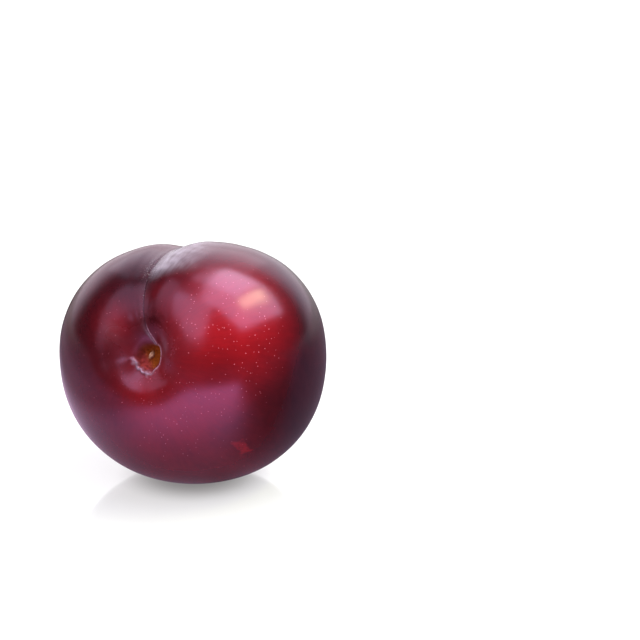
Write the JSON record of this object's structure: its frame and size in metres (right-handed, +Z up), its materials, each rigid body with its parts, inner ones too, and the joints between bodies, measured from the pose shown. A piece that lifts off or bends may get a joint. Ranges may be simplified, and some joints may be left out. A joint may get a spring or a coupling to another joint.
{
  "type": "plum",
  "caption": "Ripe whole plum, picked, lying on its side: full rounded body, suture groove, stem cavity with a torn pit, small blossom scar, flat resting spot.",
  "frame": {"origin": "on the surface the plum rests on, under the middle of its bounding box", "axes": "+Z up, -Y towards the stem end, +X to the right as the stem end is looked at"},
  "size_m": [0.0598, 0.0548, 0.0539],
  "materials": {
    "skin": "waxy semi-gloss skin, crimson to maroon, with a faint lavender bloom and pale dots"
  },
  "bodies": {
    "root": {"plum": "skin"}
  },
  "joints": []
}
